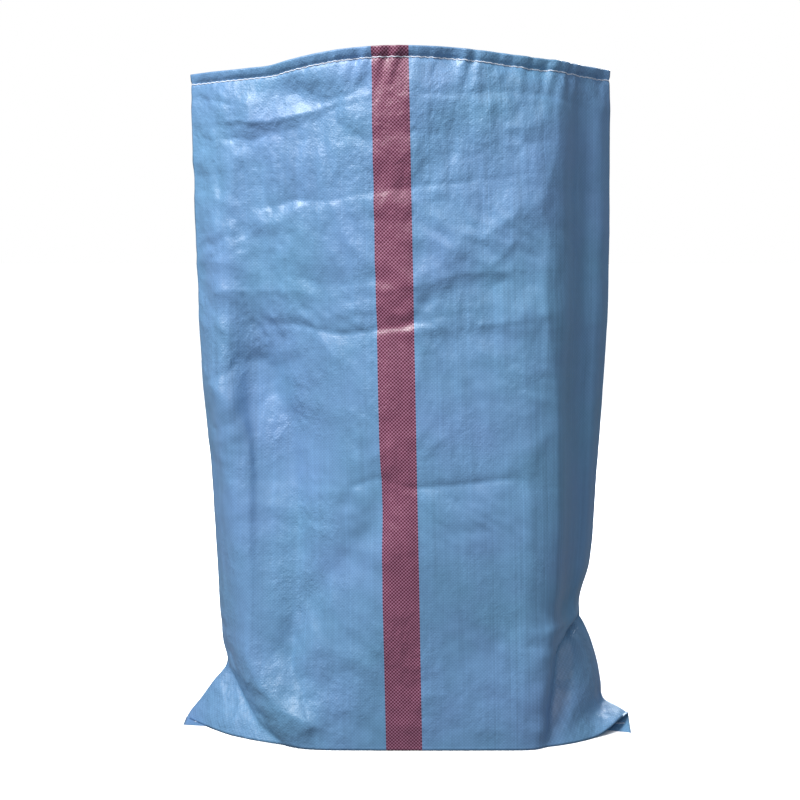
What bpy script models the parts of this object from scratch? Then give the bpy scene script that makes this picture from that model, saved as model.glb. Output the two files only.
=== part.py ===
"""Woven polypropylene sack, 60 by 100 cm lay-flat, standing open on its folded and sewn bottom.

Metres, +Z up, front of the sack towards -Y. The origin is on the floor, in the middle of the base.
The cloth is one circular-woven tube, so the level sections above the ears have nearly the same girth.
Each half of a section is a graph: depth from the mid plane y = 0 against x, mirrored from the front
to the back. Near the floor a second graph joins the first, for the two corners that stand out as
ears. The main folds of the front are added to its depth, on both skins of the wall.
"""

import bpy
import numpy as np

# Cloth as made
LAY_FLAT_WIDTH = 0.600
STRIPE_WIDTH = 0.045
STRIPE_OFFSET = -0.0065
HEM_DEPTH = 0.020
HEM_STITCH_DROP = 0.0124
SEAM_FOLD_DEPTH = 0.028

# Sack as it stands
MOUTH_HEIGHT = 0.874
PANEL_LEAN = -0.018

# Thicknesses that stand in for the 0.13 mm cloth
WALL = 0.0020
HEM_WALL = 0.0034
BASE_THICKNESS = 0.0030
SEAM_FOLD_THICKNESS = 0.0028
LEAST_HOLLOW = 0.0006

# Sewing threads
HEM_THREAD_RADIUS = 0.0006
SEAM_THREAD_RADIUS = 0.0005
HEM_THREAD_GAP = 0.0004
SEAM_THREAD_GAP = 0.0003
SEAM_STITCH_Y = -0.014
SEAM_STITCH_HALF_LENGTH = 0.290
GROOVE_HALF_WIDTH = 0.0009
GROOVE_DEPTH = 0.0017
GROOVE_SPARE = 0.0025

# Reach of the whole outline at its key heights, from the ear tips up to the mouth corners
REACH_HEIGHTS = (
    0.0, 0.012, 0.026, 0.054, 0.082, 0.110, 0.138, 0.1515, 0.220, 0.330, 0.435, 0.540, 0.740, 0.874,
)
LEFT_REACH = (
    0.300, 0.293, 0.282, 0.262, 0.242, 0.247, 0.249, 0.250, 0.253, 0.258, 0.266, 0.272, 0.277, 0.279,
)
RIGHT_REACH = (
    0.300, 0.285, 0.267, 0.259, 0.253, 0.245, 0.234, 0.229, 0.241, 0.248, 0.254, 0.259, 0.259, 0.258,
)

# Reach of the full body between the ears, which is tucked in towards the floor
BODY_HEIGHTS = (0.0, 0.023, 0.043, 0.062, 0.082, 0.125, 0.1515, 0.200)
LEFT_BODY = (0.165, 0.197, 0.222, 0.235, 0.242, 0.248, 0.250, 0.252)
RIGHT_BODY = (0.168, 0.176, 0.180, 0.184, 0.188, 0.200, 0.229, 0.239)

# Depth and fullness of the ears, and how boxy the body is
EAR_HEIGHTS = (0.0, 0.023, 0.043, 0.082, 0.125, 0.160)
LEFT_EAR_DEPTH = (0.113, 0.103, 0.080, 0.030, 0.004, 0.0)
RIGHT_EAR_DEPTH = (0.113, 0.096, 0.078, 0.056, 0.044, 0.020)
LEFT_EAR_POWER = (2.7, 2.6, 2.4, 1.8, 1.4, 1.4)
RIGHT_EAR_POWER = (4.2, 5.0, 6.5, 7.5, 7.0, 6.0)
BOXY_HEIGHTS = (0.0, 0.150, 0.240, 0.330, 0.435, 0.540, 0.740, 0.874)
LEFT_POWER = (4.5, 5.0, 4.6, 4.0, 3.2, 2.6, 2.3, 2.1)
RIGHT_POWER = (9.0, 9.0, 6.0, 4.5, 3.2, 2.6, 2.3, 2.1)
BODY_ROUNDNESS = (0.65, 0.80, 0.84, 0.92, 1.0, 1.0, 1.0, 1.0)
JOIN_SOFTNESS = 0.010

# Depth from the mid plane to the body's deepest line, which gives each section the cloth's girth
DEPTH_HEIGHTS = (0.0, 0.100, 0.200, 0.300, 0.420, 0.540, 0.700, 0.874)
HALF_DEPTHS = (0.113, 0.1145, 0.1185, 0.121, 0.116, 0.110, 0.107, 0.115)

# Form above the base, as depth over the share of the way from the middle to the edge: a long slope
# down to a flat margin on the left, a corner and a steep side on the right
SLOPE_SHARES = (0.0, 0.08, 0.20, 0.50, 0.62, 0.72, 0.90, 1.0)
SLOPE_DEPTHS = (1.0, 0.985, 0.91, 0.58, 0.47, 0.41, 0.36, 0.0)
CORNER_SHARES = (0.0, 0.30, 0.57, 0.66, 0.735, 0.86, 0.95, 1.0)
CORNER_DEPTHS = (1.0, 0.970, 0.910, 0.835, 0.72, 0.30, 0.17, 0.0)
FORM_HEIGHTS = (0.0, 0.100, 0.165, 0.300, 0.460, 0.600, 0.740, 0.830, 0.874)
LEFT_FORM = (0.0, 0.10, 0.28, 0.72, 1.0, 0.65, 0.40, 0.25, 0.15)
RIGHT_FORM = (0.0, 0.0, 0.90, 1.0, 1.0, 1.0, 0.9, 0.6, 0.35)

# Fall of the mouth's edge below its highest point, by the distance across the panel
MOUTH_PLACES = (-0.300, -0.195, -0.159, -0.142, -0.109, -0.078, -0.040, 0.055, 0.128, 0.196, 0.277, 0.300)
MOUTH_FALL = (0.0220, 0.0197, 0.0178, 0.0143, 0.0084, 0.0040, 0.0008, 0.0006, 0.0064, 0.0113, 0.0156, 0.0168)
FALL_BEGINS = 0.600

# Main folds, in millimetres: a line in the front view, its rise, and how far it reaches to the left
# and to the right of the way the line runs. The ridge by the stripe is on both panels
SHARED_FOLDS = (
    (((0, 230), (4, 360), (3, 470)), 4.5, 70, 55),
)
FRONT_FOLDS = (
    # Ridge and hollow of the left margin
    (((-159, 26), (-203, 77), (-222, 115), (-219, 180), (-217, 423), (-235, 443)), 9.0, 20, 16),
    (((-146, 44), (-184, 87), (-194, 118), (-186, 182), (-160, 330), (-164, 413), (-200, 531)), -9.0, 18, 20),
    # Slanting hollow at the stripe's left
    (((-168, 117), (-148, 158), (-96, 217), (-72, 304)), -5.0, 24, 20),
    # Corner on the right, and where it swings inwards above
    (((165, 9), (180, 154), (187, 308), (183, 456), (168, 552)), 2.6, 14, 14),
    (((168, 552), (132, 600), (122, 640), (139, 688), (172, 730), (182, 810)), 4.6, 14, 46),
    (((222, 590), (216, 740), (214, 806)), -3.6, 26, 14),
    # Fold across the middle
    (((-250, 573), (-207, 578), (-139, 580)), 4.4, 14, 22),
    (((-200, 533), (-136, 537), (-77, 527), (4, 540)), -4.0, 18, 14),
    (((4, 586), (62, 603), (122, 604)), 3.6, 18, 14),
    # Fold across the upper third
    (((-184, 682), (-138, 691), (-74, 696), (78, 714), (131, 719)), -3.4, 16, 12),
    # Flap at the upper left, with a hollow beside it and one below it
    (((-172, 850), (-148, 825), (-112, 803)), -6.5, 22, 20),
    (((-200, 788), (-165, 789), (-112, 800)), 5.0, 24, 12),
    (((-232, 770), (-195, 766), (-168, 775)), -4.6, 14, 22),
    # Right ear: its pocket and its ridge
    (((196, 4), (217, 62), (214, 120)), 5.0, 14, 18),
    (((186, 142), (224, 142)), -5.0, 12, 12),
)
HEM_HOLLOW = 0.0042
HEM_HOLLOW_REACH = 0.0145
FOLD_FADE_DEPTH = 0.035
FOLD_FADE_HEIGHT = 0.030
MM = 0.001

# Mesh
COLUMNS = (15, 2, 22)
ROW_HEIGHTS = (
    0.0, 0.011, 0.023, 0.035, 0.047, 0.060, 0.073, 0.086, 0.099, 0.112, 0.124, 0.136, 0.148, 0.160,
    0.175, 0.195, 0.225, 0.262, 0.300, 0.338, 0.376, 0.414, 0.450, 0.484, 0.514, 0.540, 0.566, 0.592,
    0.622, 0.652, 0.682, 0.710, 0.742, 0.772, 0.802, 0.830,
)
FINE_STEPS = 600
THREAD_SIDES = 6
HEM_STEP = 0.0015
STILL_MIDDLE = 0.150

CLOTH_BLUE = (0.145, 0.291, 0.509)
STRIPE_RED = (0.254, 0.050, 0.098)
THREAD_WHITE = (0.76, 0.80, 0.86)


def clear_scene():
    for obj in list(bpy.data.objects):
        bpy.data.objects.remove(obj, do_unlink=True)


def material(name, colour, roughness):
    made = bpy.data.materials.new(name)
    made.use_nodes = True
    shader = made.node_tree.nodes["Principled BSDF"]
    shader.inputs["Base Color"].default_value = (*colour, 1.0)
    shader.inputs["Roughness"].default_value = roughness
    shader.inputs["Metallic"].default_value = 0.0
    return made


def mesh_object(name, points, faces, materials):
    mesh = bpy.data.meshes.new(name)
    mesh.from_pydata([tuple(point) for point in points], [], faces)
    mesh.update()
    obj = bpy.data.objects.new(name, mesh)
    for each in materials:
        mesh.materials.append(each)
    bpy.context.scene.collection.objects.link(obj)
    return obj


def smooth_step(value):
    t = np.clip(value, 0.0, 1.0)
    return t * t * (3.0 - 2.0 * t)


def flowing(place, keys, values):
    """A smooth curve through the key values: cubic pieces whose slopes are weighted means."""
    keys = np.asarray(keys)
    values = np.asarray(values)
    spans = np.diff(keys)
    rises = np.diff(values) / spans
    inner = (rises[:-1] * spans[1:] + rises[1:] * spans[:-1]) / (spans[:-1] + spans[1:])
    slopes = np.concatenate([rises[:1], inner, rises[-1:]])
    i = np.clip(np.searchsorted(keys, place) - 1, 0, len(spans) - 1)
    t = np.clip((place - keys[i]) / spans[i], 0.0, 1.0)
    start = (1 + 2 * t) * (1 - t) ** 2 * values[i] + t * (1 - t) ** 2 * spans[i] * slopes[i]
    end = t * t * (3 - 2 * t) * values[i + 1] + t * t * (t - 1) * spans[i] * slopes[i + 1]
    return start + end


def bulge(reached, power, roundness=1.0):
    """Height 1 in the middle and 0 at the edge: one minus a power of the share, to a second power."""
    return (1.0 - reached ** power) ** roundness


def half_section(height):
    """Fine x and depth values of the front half at a height, the outline of ears and body together."""
    left = flowing(height, REACH_HEIGHTS, LEFT_REACH)
    right = flowing(height, REACH_HEIGHTS, RIGHT_REACH)
    turn = np.linspace(-np.pi / 2, np.pi / 2, FINE_STEPS)
    x = np.where(turn < 0.0, left, right) * np.sin(turn)
    on_left = x < 0.0
    if height < BODY_HEIGHTS[-1]:
        body_left = min(flowing(height, BODY_HEIGHTS, LEFT_BODY), left)
        body_right = min(flowing(height, BODY_HEIGHTS, RIGHT_BODY), right)
    else:
        body_left, body_right = left, right
    reached = np.clip(np.where(on_left, -x / body_left, x / body_right), 0.0, 1.0)
    powers = (flowing(height, BOXY_HEIGHTS, LEFT_POWER), flowing(height, BOXY_HEIGHTS, RIGHT_POWER))
    body = bulge(reached, np.where(on_left, *powers), flowing(height, BOXY_HEIGHTS, BODY_ROUNDNESS))
    slope = (flowing(reached, SLOPE_SHARES, SLOPE_DEPTHS) - body) * flowing(height, FORM_HEIGHTS, LEFT_FORM)
    corner = flowing(reached, CORNER_SHARES, CORNER_DEPTHS) - body
    corner *= flowing(height, FORM_HEIGHTS, RIGHT_FORM)
    body = (body + np.where(on_left, slope, corner)) * flowing(height, DEPTH_HEIGHTS, HALF_DEPTHS)
    ear_reached = np.abs(np.sin(turn))
    left_ear = bulge(ear_reached, flowing(height, EAR_HEIGHTS, LEFT_EAR_POWER))
    right_ear = bulge(ear_reached, flowing(height, EAR_HEIGHTS, RIGHT_EAR_POWER))
    left_ear = left_ear * max(flowing(height, EAR_HEIGHTS, LEFT_EAR_DEPTH), 0.0)
    right_ear = right_ear * max(flowing(height, EAR_HEIGHTS, RIGHT_EAR_DEPTH), 0.0)
    ear = np.where(on_left, left_ear, right_ear)
    blend = np.clip(0.5 + 0.5 * (ear - body) / JOIN_SOFTNESS, 0.0, 1.0)
    joined = body + (ear - body) * blend + JOIN_SOFTNESS * blend * (1.0 - blend)
    joined[[0, -1]] = 0.0
    return x, np.maximum(joined, 0.0)


def arc_lengths(x, depth):
    return np.concatenate([[0.0], np.cumsum(np.hypot(np.diff(x), np.diff(depth)))])


def fold_rise(x, level, line, first_reach, second_reach):
    """One at a chain of straight lines, falling off with the distance by each side's own reach."""
    nearest = np.full(len(x), np.inf)
    rise = np.zeros(len(x))
    for (x0, z0), (x1, z1) in zip(line[:-1], line[1:]):
        dx, dz = x1 - x0, z1 - z0
        t = np.clip(((x - x0) * dx + (level - z0) * dz) / (dx * dx + dz * dz), 0.0, 1.0)
        gap = np.hypot(x - x0 - t * dx, level - z0 - t * dz)
        on_first = dx * (level - z0) >= dz * (x - x0)
        found = np.exp(-gap / np.where(on_first, first_reach, second_reach))
        rise = np.where(gap < nearest, found, rise)
        nearest = np.minimum(gap, nearest)
    return rise


def relief(folds, x, depth, level):
    """How far folds and the hollow at the stitches move a panel out from its smooth form."""
    total = np.zeros(len(x))
    for line, rise, first_reach, second_reach in folds:
        total += rise * MM * fold_rise(x / MM, level / MM, line, first_reach, second_reach)
    below = MOUTH_HEIGHT - HEM_STITCH_DROP - level
    total -= HEM_HOLLOW * np.exp(-abs(below) / HEM_HOLLOW_REACH)
    return total * smooth_step(depth / FOLD_FADE_DEPTH) * smooth_step(level / FOLD_FADE_HEIGHT)


def cloth_columns():
    """Distances across the front panel where columns of the mesh run, with two on the stripe's edges."""
    half = LAY_FLAT_WIDTH / 2
    first = STRIPE_OFFSET - STRIPE_WIDTH / 2
    last = STRIPE_OFFSET + STRIPE_WIDTH / 2
    left = np.linspace(-half, first, COLUMNS[0] + 1)
    middle = np.linspace(first, last, COLUMNS[1] + 1)
    right = np.linspace(last, half, COLUMNS[2] + 1)
    return np.concatenate([left[:-1], middle[:-1], right])


def column_points(height, x, depth, columns):
    """x and depth of each column. The middle keeps its true distances and the ears take up the rest.

    The centre line leans with height, because the tube stands slightly twisted.
    """
    run = arc_lengths(x, depth)
    centre = np.interp(PANEL_LEAN * height / MOUTH_HEIGHT, x, run)
    half = LAY_FLAT_WIDTH / 2
    spare = np.where(columns < 0.0, centre - half, run[-1] - centre - half)
    ease = smooth_step((np.abs(columns) - STILL_MIDDLE) / (half - STILL_MIDDLE))
    places = np.clip(centre + columns + np.sign(columns) * spare * ease, 0.0, run[-1])
    deep = np.interp(places, run, depth)
    deep[[0, -1]] = 0.0
    return np.interp(places, run, x), deep


def inset_section(x, depth, wall):
    """The half section moved inwards by a wall, up to where its two sides meet."""
    slope = np.gradient(depth, x)
    inset = depth - wall * np.sqrt(1.0 + slope * slope)
    middle = len(x) // 2
    shut = np.flatnonzero(inset < LEAST_HOLLOW)
    first = shut[shut < middle].max()
    last = shut[shut > middle].min()
    return x[first:last + 1], np.concatenate([[0.0], inset[first + 1:last], [0.0]])


def ring(height, wall):
    """One closed level ring, front left to right and then back right to left, inset by a wall."""
    columns = cloth_columns()
    x, depth = half_section(height)
    across, deep = column_points(height, x, depth, columns)
    front_rise = relief(SHARED_FOLDS + FRONT_FOLDS, across, deep, height)
    back_rise = relief(SHARED_FOLDS, across, deep, height)
    if wall > 0.0:
        across, deep = column_points(height, *inset_section(x, depth, wall), columns)
    least = np.minimum(deep, LEAST_HOLLOW)
    front = np.column_stack([across, -np.maximum(deep + front_rise, least)])
    back = np.column_stack([across, np.maximum(deep + back_rise, least)])[-2:0:-1]
    plan = np.concatenate([front, back])
    around = np.concatenate([columns, columns[-2:0:-1]])
    lift = smooth_step((height - FALL_BEGINS) / (MOUTH_HEIGHT - FALL_BEGINS))
    level = height - lift * flowing(around, MOUTH_PLACES, MOUTH_FALL)
    return np.column_stack([plan, level])


def skin(first_ring, last_ring, count, outward):
    """Quads between neighbouring rings, given by their numbers in the point list."""
    faces = []
    for row in range(first_ring, last_ring):
        for j in range(count):
            k = (j + 1) % count
            quad = (row * count + j, row * count + k, (row + 1) * count + k, (row + 1) * count + j)
            faces.append(quad if outward else quad[::-1])
    return faces


def level_panel(ring_number, count, downward):
    """A flat panel across one ring: strips from each front column to the back column behind it."""
    half = count // 2
    start = ring_number * count
    faces = []
    for j in range(half):
        corners = [j, (count - j) % count, count - j - 1, j + 1]
        unique = list(dict.fromkeys(start + corner for corner in corners))
        faces.append(tuple(unique if downward else unique[::-1]))
    return faces


def boolean(target, tool, operation):
    modifier = target.modifiers.new(operation.lower(), "BOOLEAN")
    modifier.operation = operation
    modifier.solver = "EXACT"
    modifier.object = tool
    tool.hide_render = True
    tool.display_type = "WIRE"


def box(name, low, high):
    corners = [(x, y, z) for z in (low[2], high[2]) for y in (low[1], high[1]) for x in (low[0], high[0])]
    faces = [(0, 2, 3, 1), (4, 5, 7, 6), (0, 1, 5, 4), (2, 6, 7, 3), (0, 4, 6, 2), (1, 3, 7, 5)]
    return mesh_object(name, corners, faces, [])


def sack_body(cloth, stripe):
    """The woven tube with its hemmed mouth, its base and the folded seam whose ends show at the tips."""
    hem_foot = MOUTH_HEIGHT - HEM_DEPTH
    stitch = MOUTH_HEIGHT - HEM_STITCH_DROP
    outer = [ring(height, 0.0) for height in (*ROW_HEIGHTS, hem_foot, stitch, MOUTH_HEIGHT)]
    inner = [ring(height, HEM_WALL) for height in (MOUTH_HEIGHT, stitch, hem_foot)]
    inner.append(ring(hem_foot - HEM_STEP, WALL))
    inner += [ring(height, WALL) for height in (*ROW_HEIGHTS[:0:-1], BASE_THICKNESS)]
    points = np.concatenate(outer + inner)
    count = len(outer[0])
    last = len(outer) + len(inner) - 1
    faces = skin(0, last, count, True)
    faces += level_panel(0, count, True) + level_panel(last, count, False)
    body = mesh_object("sack_body", points, faces, [cloth, stripe])
    width = count // 2
    for number, polygon in enumerate(body.data.polygons[:last * count]):
        column = number % count
        column = column if column < width else count - 1 - column
        polygon.material_index = int(COLUMNS[0] <= column < COLUMNS[0] + COLUMNS[1])
    half = LAY_FLAT_WIDTH / 2
    fold = box("seam_fold", (-half, -SEAM_FOLD_DEPTH, 0.0), (half, GROOVE_HALF_WIDTH, SEAM_FOLD_THICKNESS))
    reach = SEAM_STITCH_HALF_LENGTH + GROOVE_SPARE
    front = SEAM_STITCH_Y - GROOVE_HALF_WIDTH
    back = SEAM_STITCH_Y + GROOVE_HALF_WIDTH
    groove = box("seam_groove", (-reach, front, -GROOVE_DEPTH), (reach, back, GROOVE_DEPTH))
    boolean(body, fold, "UNION")
    boolean(body, groove, "DIFFERENCE")
    return body


def outward_offset(points, distance):
    """A closed level path moved out by a distance, square to each of its straight runs."""
    ahead = np.roll(points, -1, axis=0)[:, :2] - points[:, :2]
    ahead /= np.linalg.norm(ahead, axis=1)[:, None]
    square = np.column_stack([ahead[:, 1], -ahead[:, 0]])
    before = np.roll(square, 1, axis=0)
    mean = square + before
    reach = 2.0 / np.sum(mean * mean, axis=1)
    out = points.copy()
    out[:, :2] += distance * mean * reach[:, None]
    return out, mean / np.linalg.norm(mean, axis=1)[:, None]


def mouth_hem_thread(finish):
    """The row of sewing round the mouth, as one plain thread just off the cloth."""
    path = ring(MOUTH_HEIGHT - HEM_STITCH_DROP, 0.0)
    centre, out = outward_offset(path, HEM_THREAD_GAP + HEM_THREAD_RADIUS)
    rings = []
    for side in range(THREAD_SIDES):
        angle = 2.0 * np.pi * side / THREAD_SIDES
        shift = HEM_THREAD_RADIUS * np.column_stack([
            out[:, 0] * np.cos(angle), out[:, 1] * np.cos(angle), np.full(len(out), np.sin(angle))
        ])
        rings.append(centre + shift)
    points = np.concatenate(rings)
    faces = skin(0, THREAD_SIDES - 1, len(path), True)
    last = (THREAD_SIDES - 1) * len(path)
    for j in range(len(path)):
        k = (j + 1) % len(path)
        faces.append((last + j, last + k, k, j))
    return mesh_object("mouth_hem_thread", points, faces, [finish])


def bottom_seam_thread(finish):
    """The row of sewing along the folded bottom seam, as one straight thread in its groove."""
    turns = np.arange(THREAD_SIDES) * 2.0 * np.pi / THREAD_SIDES
    y = SEAM_STITCH_Y + SEAM_THREAD_RADIUS * np.cos(turns)
    z = GROOVE_DEPTH - SEAM_THREAD_GAP - SEAM_THREAD_RADIUS + SEAM_THREAD_RADIUS * np.sin(turns)
    ends = [np.column_stack([np.full(THREAD_SIDES, x), y, z]) for x in
            (-SEAM_STITCH_HALF_LENGTH, SEAM_STITCH_HALF_LENGTH)]
    points = np.concatenate(ends)
    faces = skin(0, 1, THREAD_SIDES, True)
    faces.append(tuple(range(THREAD_SIDES - 1, -1, -1)))
    faces.append(tuple(range(THREAD_SIDES, 2 * THREAD_SIDES)))
    return mesh_object("bottom_seam_thread", points, faces, [finish])


def main():
    clear_scene()
    cloth = material("laminated_blue_weave", CLOTH_BLUE, 0.38)
    stripe = material("red_warp_stripe", STRIPE_RED, 0.42)
    thread = material("white_sewing_thread", THREAD_WHITE, 0.60)
    sack_body(cloth, stripe)
    mouth_hem_thread(thread)
    bottom_seam_thread(thread)


main()
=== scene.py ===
"""Looks of an empty woven polypropylene sack, 60 by 100 cm lay-flat, standing open on its sewn bottom.

Laid out as a Blender add-on and run as a script. Metres, +Z up, front towards -Y.
The cloth is one grid: rows run round the tube, columns run along the warp. Tables of reach and depth
give a smooth tube, and folds, creases and gathers are added square to its surface.
Cloth coordinates are kept with the mesh: metres round the tube and metres up from the floor.
"""

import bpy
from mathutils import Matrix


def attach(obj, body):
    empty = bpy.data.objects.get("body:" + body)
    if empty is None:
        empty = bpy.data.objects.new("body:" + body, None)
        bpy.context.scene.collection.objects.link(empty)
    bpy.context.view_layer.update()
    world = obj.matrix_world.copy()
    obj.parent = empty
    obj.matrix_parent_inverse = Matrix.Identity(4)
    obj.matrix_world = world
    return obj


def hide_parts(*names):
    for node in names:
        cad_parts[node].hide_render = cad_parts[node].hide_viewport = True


bl_info = {
    "name": "Woven sack",
    "version": (1, 0, 0),
    "blender": (4, 5, 0),
    "location": "View3D > Sidebar > Sack",
    "description": "Builds a laminated woven sack with a hemmed mouth, a sewn bottom and its stage",
    "category": "Object",
}

import bpy
import numpy as np
from bpy.props import FloatProperty, FloatVectorProperty, IntProperty, PointerProperty, StringProperty
from mathutils import Vector

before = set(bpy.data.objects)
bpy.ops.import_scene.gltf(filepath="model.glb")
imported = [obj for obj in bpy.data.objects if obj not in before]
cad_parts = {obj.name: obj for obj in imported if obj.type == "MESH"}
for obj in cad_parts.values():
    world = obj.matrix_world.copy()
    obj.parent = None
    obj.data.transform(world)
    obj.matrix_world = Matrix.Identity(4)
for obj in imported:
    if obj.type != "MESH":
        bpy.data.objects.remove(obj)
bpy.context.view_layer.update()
BODY = "root"
MM = 0.001

# Reach of the outline to the left and right at its key heights, and of the full body between the ears
REACH_HEIGHTS = (
    0.0, 0.012, 0.026, 0.054, 0.082, 0.110, 0.138, 0.1515, 0.220, 0.330, 0.435, 0.540, 0.740, 0.874)
LEFT_REACH = (
    0.300, 0.293, 0.282, 0.262, 0.242, 0.247, 0.249, 0.250, 0.253, 0.258, 0.266, 0.272, 0.277, 0.279)
RIGHT_REACH = (
    0.300, 0.285, 0.267, 0.259, 0.253, 0.245, 0.234, 0.229, 0.241, 0.248, 0.254, 0.259, 0.259, 0.258)
BODY_HEIGHTS = (0.0, 0.023, 0.043, 0.062, 0.082, 0.125, 0.1515, 0.200)
LEFT_BODY = (0.187, 0.209, 0.219, 0.228, 0.238, 0.248, 0.250, 0.252)
RIGHT_BODY = (0.192, 0.190, 0.187, 0.189, 0.192, 0.203, 0.229, 0.239)

# Depth and fullness of the ears by height, how boxy and round the body is, and how softly they join
EAR_HEIGHTS = (0.0, 0.023, 0.043, 0.082, 0.125, 0.160)
LEFT_EAR_DEPTH = (0.113, 0.103, 0.080, 0.030, 0.004, 0.0)
RIGHT_EAR_DEPTH = (0.113, 0.096, 0.080, 0.060, 0.042, 0.020)
LEFT_EAR_POWER = (2.7, 2.6, 2.4, 1.8, 1.4, 1.4)
RIGHT_EAR_POWER = (4.2, 6.0, 9.0, 11.0, 10.0, 7.0)
BOXY_HEIGHTS = (0.0, 0.150, 0.240, 0.330, 0.435, 0.540, 0.740, 0.874)
LEFT_POWER = (7.0, 5.0, 4.6, 4.0, 3.2, 2.6, 2.3, 2.1)
RIGHT_POWER = (17.0, 17.0, 9.0, 6.0, 3.2, 2.6, 2.3, 2.1)
BODY_ROUNDNESS = (0.50, 0.80, 0.84, 0.92, 1.0, 1.0, 1.0, 1.0)
JOIN_SOFTNESS = 0.003

# Depth from the middle plane to the panel's foremost line, by height
DEPTH_HEIGHTS = (0.0, 0.100, 0.200, 0.300, 0.420, 0.540, 0.700, 0.874)
HALF_DEPTHS = (0.113, 0.1145, 0.1185, 0.121, 0.116, 0.110, 0.107, 0.115)

# Form of the half section above the base, as depth over the share of the way from the middle to the
# edge: a long slope down to a flat margin on the left, a corner and a steep side on the right. Both
# come in by height. The firmness is a power of that share, and moves the corner outwards.
SLOPE_SHARES = (0.0, 0.08, 0.20, 0.50, 0.62, 0.74, 0.90, 1.0)
SLOPE_DEPTHS = (1.0, 0.985, 0.91, 0.58, 0.44, 0.35, 0.37, 0.0)
CORNER_SHARES = (0.0, 0.30, 0.57, 0.66, 0.735, 0.86, 0.95, 1.0)
CORNER_DEPTHS = (1.0, 0.970, 0.910, 0.835, 0.72, 0.30, 0.17, 0.0)
FORM_HEIGHTS = (0.0, 0.100, 0.125, 0.1515, 0.200, 0.300, 0.460, 0.600, 0.740, 0.830, 0.874)
LEFT_FORM = (0.0, 0.10, 0.17, 0.25, 0.42, 0.72, 1.0, 0.65, 0.40, 0.25, 0.15)
RIGHT_FORM = (0.0, 0.0, 0.15, 0.85, 0.95, 1.0, 1.0, 1.0, 0.9, 0.6, 0.35)
CORNER_FIRMNESS = (1.6, 1.6, 1.6, 1.6, 1.36, 1.25, 1.0, 1.0, 1.0, 1.0, 1.0)

# Fall of the mouth's edge below its highest point, by the distance across the panel
MOUTH_PLACES = (-0.300, -0.195, -0.159, -0.142, -0.109, -0.078, -0.040, 0.055, 0.128, 0.196, 0.277, 0.300)
MOUTH_FALL = (0.0220, 0.0197, 0.0178, 0.0143, 0.0084, 0.0040, 0.0008, 0.0006, 0.0064, 0.0113, 0.0156, 0.0168)

# Fold lines of the front in millimetres, each shared by two creases
UPPER_FOLD = (
    (-150, 692), (-120, 690), (-93, 691), (-74, 696), (-46, 700), (3, 706), (27, 710), (78, 714), (131, 719))
MIDDLE_FOLD = (
    (-200, 533), (-170, 535), (-136, 537), (-100, 528), (-77, 527), (-39, 533), (4, 540), (46, 537),
    (82, 539))

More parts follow.
